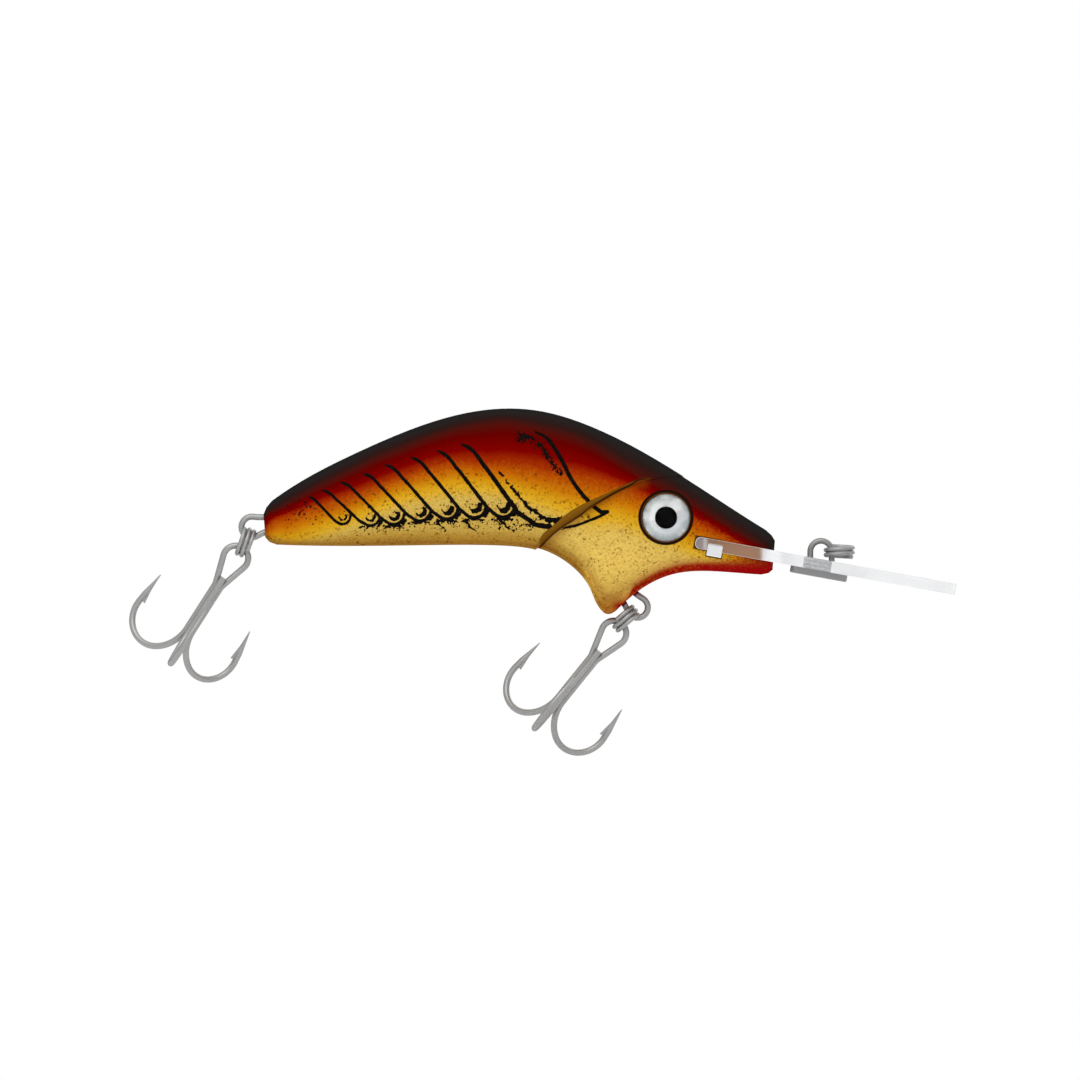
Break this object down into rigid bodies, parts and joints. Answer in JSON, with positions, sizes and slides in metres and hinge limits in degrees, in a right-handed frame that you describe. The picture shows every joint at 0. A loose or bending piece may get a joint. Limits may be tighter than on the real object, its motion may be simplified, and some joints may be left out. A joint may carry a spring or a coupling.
{
  "type": "crankbait lure",
  "caption": "Deep-bodied hard lure with a keel chin, exchangeable clear diving lip, wire hangers, split rings and treble hooks; rings, hooks, lip and rattles move.",
  "frame": {"origin": "centre of the tow eye's hole, where the line ties on", "axes": "+X towards the nose, +Z towards the back, Y across the body; the moulding split lies in Y = 0"},
  "size_m": [0.1452, 0.0234, 0.0609],
  "materials": {
    "painted_shell": "airbrushed black back, dark red, orange and gold, under satin clear coat",
    "hanger_steel": "satin stainless wire",
    "ballast_metal": "plain turned metal",
    "ball_steel": "polished bearing ball",
    "eye_silver": "matte silver reflective foil",
    "eye_black": "gloss black",
    "eye_clear": "clear domed resin",
    "lip_clear": "clear polycarbonate",
    "latch_clear": "clear polycarbonate",
    "tow_wire": "satin stainless wire",
    "tow_plate_metal": "tumbled stainless plate",
    "ring_nickel": "matte nickel",
    "hook_nickel": "matte nickel"
  },
  "bodies": {
    "body": {"right_shell": "painted_shell", "left_shell": "painted_shell", "tail_hanger": "hanger_steel", "belly_hanger": "hanger_steel", "ballast_weight": "ballast_metal", "right_eye_foil": "eye_silver", "left_eye_foil": "eye_silver", "right_eye_pupil": "eye_black", "left_eye_pupil": "eye_black", "right_eye_lens": "eye_clear", "left_eye_lens": "eye_clear"},
    "lip": {"diving_lip": "lip_clear", "lip_latch": "latch_clear", "tow_eye": "tow_wire", "tow_plate": "tow_plate_metal"},
    "tow_ring": {"tow_split_ring": "ring_nickel"},
    "tail_ring": {"tail_split_ring": "ring_nickel"},
    "tail_treble": {"tail_double_hook": "hook_nickel", "tail_single_hook": "hook_nickel"},
    "belly_ring": {"belly_split_ring": "ring_nickel"},
    "belly_treble": {"belly_double_hook": "hook_nickel", "belly_single_hook": "hook_nickel"},
    "shift_ball": {"shift_ball": "ball_steel"},
    "rattle_ball": {"rattle_ball": "ball_steel"}
  },
  "joints": [
    {"name": "lip_pull", "type": "slide", "parent": "body", "child": "lip", "axis": [0.9839, 0, -0.1788], "range_m": [0, 0.016], "deforming": ["lip_latch"]},
    {"name": "tow_ring_swing", "type": "hinge", "parent": "lip", "child": "tow_ring", "pos_m": [0, 0, 0], "axis": [0, -1, 0], "range_deg": [0, 100]},
    {"name": "tail_ring_swing", "type": "hinge", "parent": "body", "child": "tail_ring", "pos_m": [-0.09985, 0, 0.0043], "axis": [0, 1, 0], "range_deg": [-35, 80]},
    {"name": "tail_treble_sway", "type": "hinge", "parent": "tail_ring", "child": "tail_treble", "pos_m": [-0.10099, 0, 0.00161], "axis": [0.9205, 0, -0.3907], "range_deg": [-45, 25]},
    {"name": "belly_ring_swing", "type": "hinge", "parent": "body", "child": "belly_ring", "pos_m": [-0.0322, 0, -0.0098], "axis": [0, -1, 0], "range_deg": [0, 75]},
    {"name": "belly_treble_sway", "type": "hinge", "parent": "belly_ring", "child": "belly_treble", "pos_m": [-0.03434, 0, -0.01179], "axis": [0.682, 0, -0.7314], "range_deg": [-45, 25]},
    {"name": "shift_ball_roll", "type": "slide", "parent": "body", "child": "shift_ball", "axis": [-1, 0, 0], "range_m": [0, 0.0225]},
    {"name": "rattle_ball_roll", "type": "slide", "parent": "body", "child": "rattle_ball", "axis": [-1, 0, 0], "range_m": [0, 0.0135]}
  ]
}
